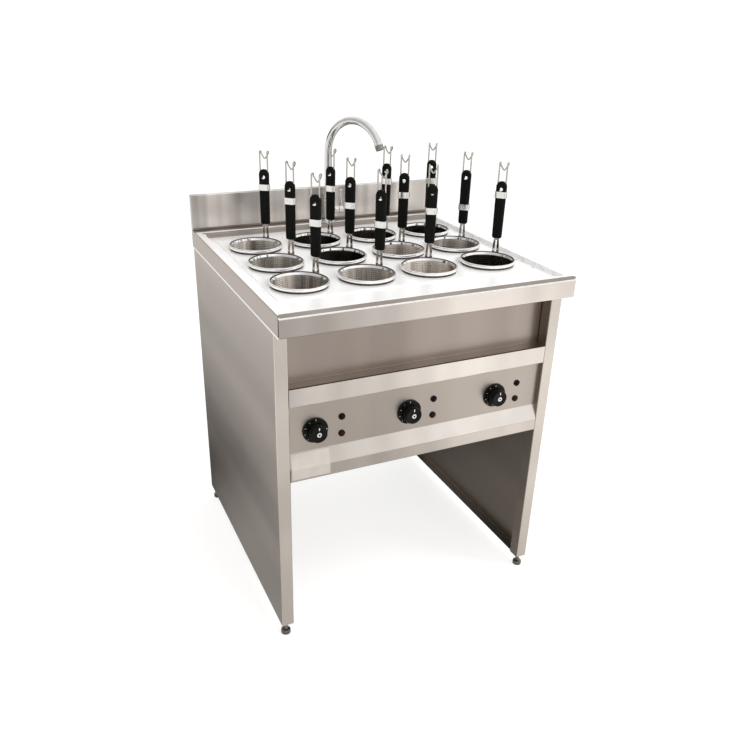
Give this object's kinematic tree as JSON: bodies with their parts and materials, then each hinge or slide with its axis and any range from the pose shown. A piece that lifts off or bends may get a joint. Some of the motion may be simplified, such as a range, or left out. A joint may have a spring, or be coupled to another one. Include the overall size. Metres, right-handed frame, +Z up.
{
  "type": "pasta cooker",
  "caption": "Free-standing electric pasta cooker: lift-out strainer baskets in a hole plate over a water tank, dial knobs with lamps on the front, swivel tap at the back.",
  "frame": {"origin": "on the floor under the middle of the worktop", "axes": "+X to the right as seen from the front, +Y to the back, +Z up"},
  "size_m": [0.7, 0.7, 1.1125],
  "materials": {
    "brushed_stainless": "brushed",
    "satin_stainless": "satin",
    "polished_stainless": "polished",
    "chrome": "plated, polished",
    "black_grip": "moulded",
    "black_knob": "moulded",
    "lamp_lens": "tinted",
    "pale_plastic": "moulded",
    "heater_tube": "oxidised",
    "brass": "machined",
    "red_lever": "dipped",
    "foot_steel": "zinc plated"
  },
  "bodies": {
    "frame": {"countertop": "brushed_stainless", "water_tank": "satin_stainless", "left_side_panel": "brushed_stainless", "right_side_panel": "brushed_stainless", "rear_panel": "brushed_stainless", "recess_panel": "brushed_stainless", "control_box": "brushed_stainless", "control_panel": "brushed_stainless", "pilot_lamps": "lamp_lens", "thermostats": "pale_plastic", "heating_elements": "heater_tube", "drain_valve": "brass", "tap_body": "chrome"},
    "plate": {"hole_plate": "satin_stainless"},
    "basket_11": {"strainer_11": "polished_stainless", "grip_11": "black_grip"},
    "basket_12": {"strainer_12": "polished_stainless", "grip_12": "black_grip"},
    "basket_13": {"strainer_13": "polished_stainless", "grip_13": "black_grip"},
    "basket_14": {"strainer_14": "polished_stainless", "grip_14": "black_grip"},
    "basket_21": {"strainer_21": "polished_stainless", "grip_21": "black_grip"},
    "basket_22": {"strainer_22": "polished_stainless", "grip_22": "black_grip"},
    "basket_23": {"strainer_23": "polished_stainless", "grip_23": "black_grip"},
    "basket_24": {"strainer_24": "polished_stainless", "grip_24": "black_grip"},
    "basket_31": {"strainer_31": "polished_stainless", "grip_31": "black_grip"},
    "basket_32": {"strainer_32": "polished_stainless", "grip_32": "black_grip"},
    "basket_33": {"strainer_33": "polished_stainless", "grip_33": "black_grip"},
    "basket_34": {"strainer_34": "polished_stainless", "grip_34": "black_grip"},
    "band_11": {"band_11": "polished_stainless"},
    "band_12": {"band_12": "polished_stainless"},
    "band_13": {"band_13": "polished_stainless"},
    "band_14": {"band_14": "polished_stainless"},
    "band_21": {"band_21": "polished_stainless"},
    "band_22": {"band_22": "polished_stainless"},
    "band_23": {"band_23": "polished_stainless"},
    "band_24": {"band_24": "polished_stainless"},
    "band_31": {"band_31": "polished_stainless"},
    "band_32": {"band_32": "polished_stainless"},
    "band_33": {"band_33": "polished_stainless"},
    "band_34": {"band_34": "polished_stainless"},
    "knob_left": {"knob_left": "black_knob"},
    "knob_middle": {"knob_middle": "black_knob"},
    "knob_right": {"knob_right": "black_knob"},
    "spout": {"tap_spout": "chrome"},
    "tap_lever": {"tap_lever": "chrome"},
    "drain_lever": {"drain_lever": "red_lever"},
    "foot_front_left": {"foot_front_left": "foot_steel"},
    "foot_front_right": {"foot_front_right": "foot_steel"},
    "foot_rear_left": {"foot_rear_left": "foot_steel"},
    "foot_rear_right": {"foot_rear_right": "foot_steel"}
  },
  "joints": [
    {"name": "plate_lift", "type": "slide", "parent": "frame", "child": "plate", "axis": [0, 0, 1], "range_m": [0, 0.06]},
    {"name": "basket_11_lift", "type": "slide", "parent": "plate", "child": "basket_11", "axis": [0, 0, 1], "range_m": [0, 0.18]},
    {"name": "basket_12_lift", "type": "slide", "parent": "plate", "child": "basket_12", "axis": [0, 0, 1], "range_m": [0, 0.18]},
    {"name": "basket_13_lift", "type": "slide", "parent": "plate", "child": "basket_13", "axis": [0, 0, 1], "range_m": [0, 0.18]},
    {"name": "basket_14_lift", "type": "slide", "parent": "plate", "child": "basket_14", "axis": [0, 0, 1], "range_m": [0, 0.18]},
    {"name": "basket_21_lift", "type": "slide", "parent": "plate", "child": "basket_21", "axis": [0, 0, 1], "range_m": [0, 0.18]},
    {"name": "basket_22_lift", "type": "slide", "parent": "plate", "child": "basket_22", "axis": [0, 0, 1], "range_m": [0, 0.18]},
    {"name": "basket_23_lift", "type": "slide", "parent": "plate", "child": "basket_23", "axis": [0, 0, 1], "range_m": [0, 0.18]},
    {"name": "basket_24_lift", "type": "slide", "parent": "plate", "child": "basket_24", "axis": [0, 0, 1], "range_m": [0, 0.18]},
    {"name": "basket_31_lift", "type": "slide", "parent": "plate", "child": "basket_31", "axis": [0, 0, 1], "range_m": [0, 0.18]},
    {"name": "basket_32_lift", "type": "slide", "parent": "plate", "child": "basket_32", "axis": [0, 0, 1], "range_m": [0, 0.18]},
    {"name": "basket_33_lift", "type": "slide", "parent": "plate", "child": "basket_33", "axis": [0, 0, 1], "range_m": [0, 0.18]},
    {"name": "basket_34_lift", "type": "slide", "parent": "plate", "child": "basket_34", "axis": [0, 0, 1], "range_m": [0, 0.18]},
    {"name": "band_11_slide", "type": "slide", "parent": "basket_11", "child": "band_11", "axis": [0, 0, 1], "range_m": [-0.061, 0.038]},
    {"name": "band_12_slide", "type": "slide", "parent": "basket_12", "child": "band_12", "axis": [0, 0, 1], "range_m": [-0.044, 0.055]},
    {"name": "band_13_slide", "type": "slide", "parent": "basket_13", "child": "band_13", "axis": [0, 0, 1], "range_m": [-0.061, 0.038]},
    {"name": "band_14_slide", "type": "slide", "parent": "basket_14", "child": "band_14", "axis": [0, 0, 1], "range_m": [-0.089, 0.01]},
    {"name": "band_21_slide", "type": "slide", "parent": "basket_21", "child": "band_21", "axis": [0, 0, 1], "range_m": [-0.076, 0.023]},
    {"name": "band_22_slide", "type": "slide", "parent": "basket_22", "child": "band_22", "axis": [0, 0, 1], "range_m": [-0.054, 0.045]},
    {"name": "band_23_slide", "type": "slide", "parent": "basket_23", "child": "band_23", "axis": [0, 0, 1], "range_m": [-0.068, 0.031]},
    {"name": "band_24_slide", "type": "slide", "parent": "basket_24", "child": "band_24", "axis": [0, 0, 1], "range_m": [-0.028, 0.071]},
    {"name": "band_31_slide", "type": "slide", "parent": "basket_31", "child": "band_31", "axis": [0, 0, 1], "range_m": [-0.077, 0.022]},
    {"name": "band_32_slide", "type": "slide", "parent": "basket_32", "child": "band_32", "axis": [0, 0, 1], "range_m": [-0.066, 0.033]},
    {"name": "band_33_slide", "type": "slide", "parent": "basket_33", "child": "band_33", "axis": [0, 0, 1], "range_m": [-0.076, 0.023]},
    {"name": "band_34_slide", "type": "slide", "parent": "basket_34", "child": "band_34", "axis": [0, 0, 1], "range_m": [-0.066, 0.033]},
    {"name": "knob_left_turn", "type": "hinge", "parent": "frame", "child": "knob_left", "pos_m": [-0.2575, -0.302, 0.543], "axis": [0, 1, 0], "range_deg": [0, 270]},
    {"name": "knob_middle_turn", "type": "hinge", "parent": "frame", "child": "knob_middle", "pos_m": [-0.031, -0.302, 0.543], "axis": [0, 1, 0], "range_deg": [0, 270]},
    {"name": "knob_right_turn", "type": "hinge", "parent": "frame", "child": "knob_right", "pos_m": [0.1955, -0.302, 0.543], "axis": [0, 1, 0], "range_deg": [0, 270]},
    {"name": "spout_swivel", "type": "hinge", "parent": "frame", "child": "spout", "pos_m": [0.019, 0.306, 0.89], "axis": [0, 0, -1], "range_deg": [-10, 87]},
    {"name": "tap_lever_turn", "type": "hinge", "parent": "frame", "child": "tap_lever", "pos_m": [0.049, 0.306, 0.863], "axis": [1, 0, 0], "range_deg": [0, 90]},
    {"name": "drain_lever_turn", "type": "hinge", "parent": "frame", "child": "drain_lever", "pos_m": [-0.15, 0.093, 0.5895], "axis": [0, 1, 0], "range_deg": [0, 90]},
    {"name": "foot_front_left_screw", "type": "slide", "parent": "frame", "child": "foot_front_left", "axis": [0, 0, -1], "range_m": [0, 0.02]},
    {"name": "foot_front_right_screw", "type": "slide", "parent": "frame", "child": "foot_front_right", "axis": [0, 0, -1], "range_m": [0, 0.02]},
    {"name": "foot_rear_left_screw", "type": "slide", "parent": "frame", "child": "foot_rear_left", "axis": [0, 0, -1], "range_m": [0, 0.02]},
    {"name": "foot_rear_right_screw", "type": "slide", "parent": "frame", "child": "foot_rear_right", "axis": [0, 0, -1], "range_m": [0, 0.02]}
  ]
}
